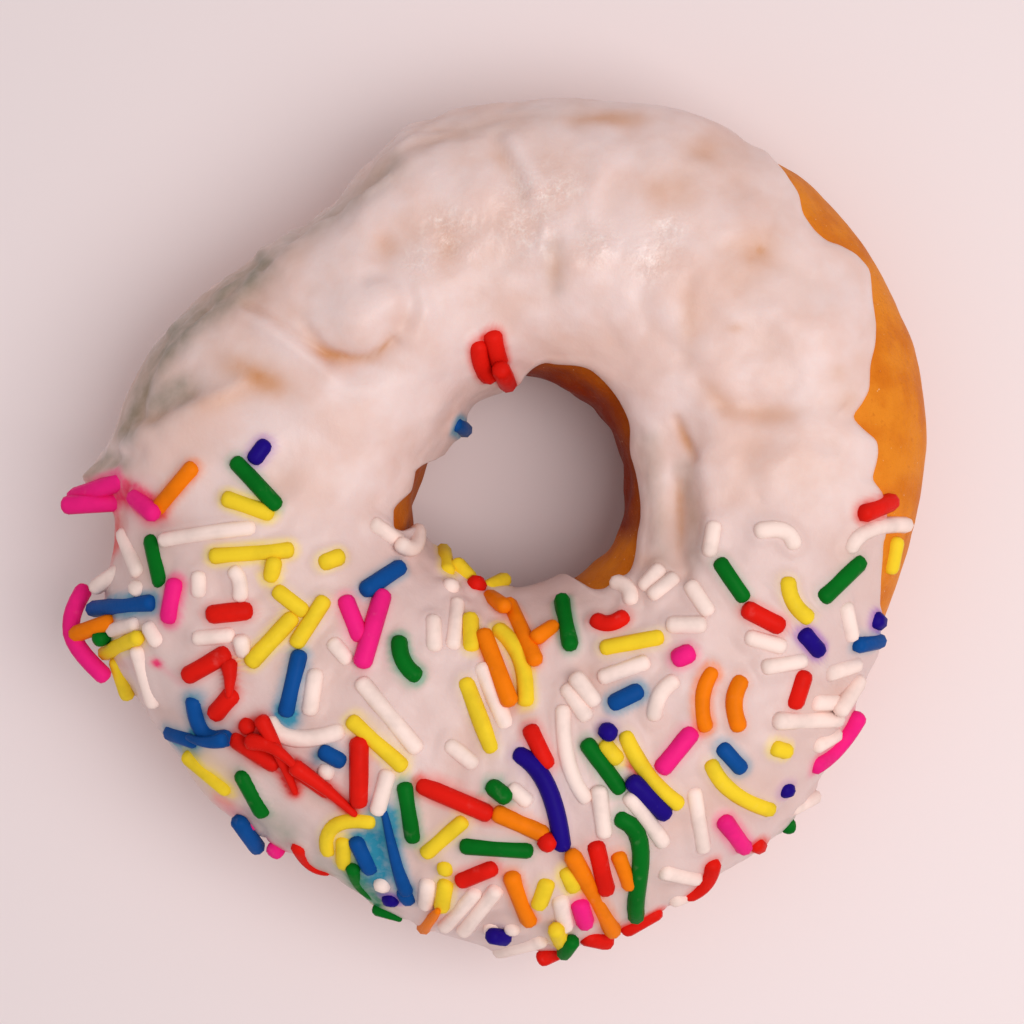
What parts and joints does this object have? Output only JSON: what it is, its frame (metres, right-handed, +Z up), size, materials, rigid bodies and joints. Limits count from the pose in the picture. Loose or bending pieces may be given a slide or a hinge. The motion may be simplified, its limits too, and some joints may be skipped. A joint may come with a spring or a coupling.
{
  "type": "frosted ring doughnut",
  "caption": "Fried ring doughnut with a poured icing cap and sprinkles set in one half of it, resting flat on its underside.",
  "frame": {"origin": "middle of the whole doughnut, sprinkles included, on the surface it rests on", "axes": "+Z up, out of the icing; +X to the side where the crust is bare; +Y away from the sprinkled half"},
  "size_m": [0.0912, 0.0913, 0.0297],
  "materials": {
    "crust": "fried golden-brown crust, slightly greasy",
    "icing": "set sugar icing, soft gloss",
    "sprinkle_green": "sugar sprinkle, smooth",
    "sprinkle_yellow": "sugar sprinkle, smooth",
    "sprinkle_orange": "sugar sprinkle, smooth",
    "sprinkle_red": "sugar sprinkle, smooth",
    "sprinkle_pink": "sugar sprinkle, smooth",
    "sprinkle_blue": "sugar sprinkle, smooth",
    "sprinkle_purple": "sugar sprinkle, smooth",
    "sprinkle_white": "sugar sprinkle, smooth"
  },
  "bodies": {
    "root": {"dough_ring": "crust", "icing": "icing"}
  },
  "joints": []
}
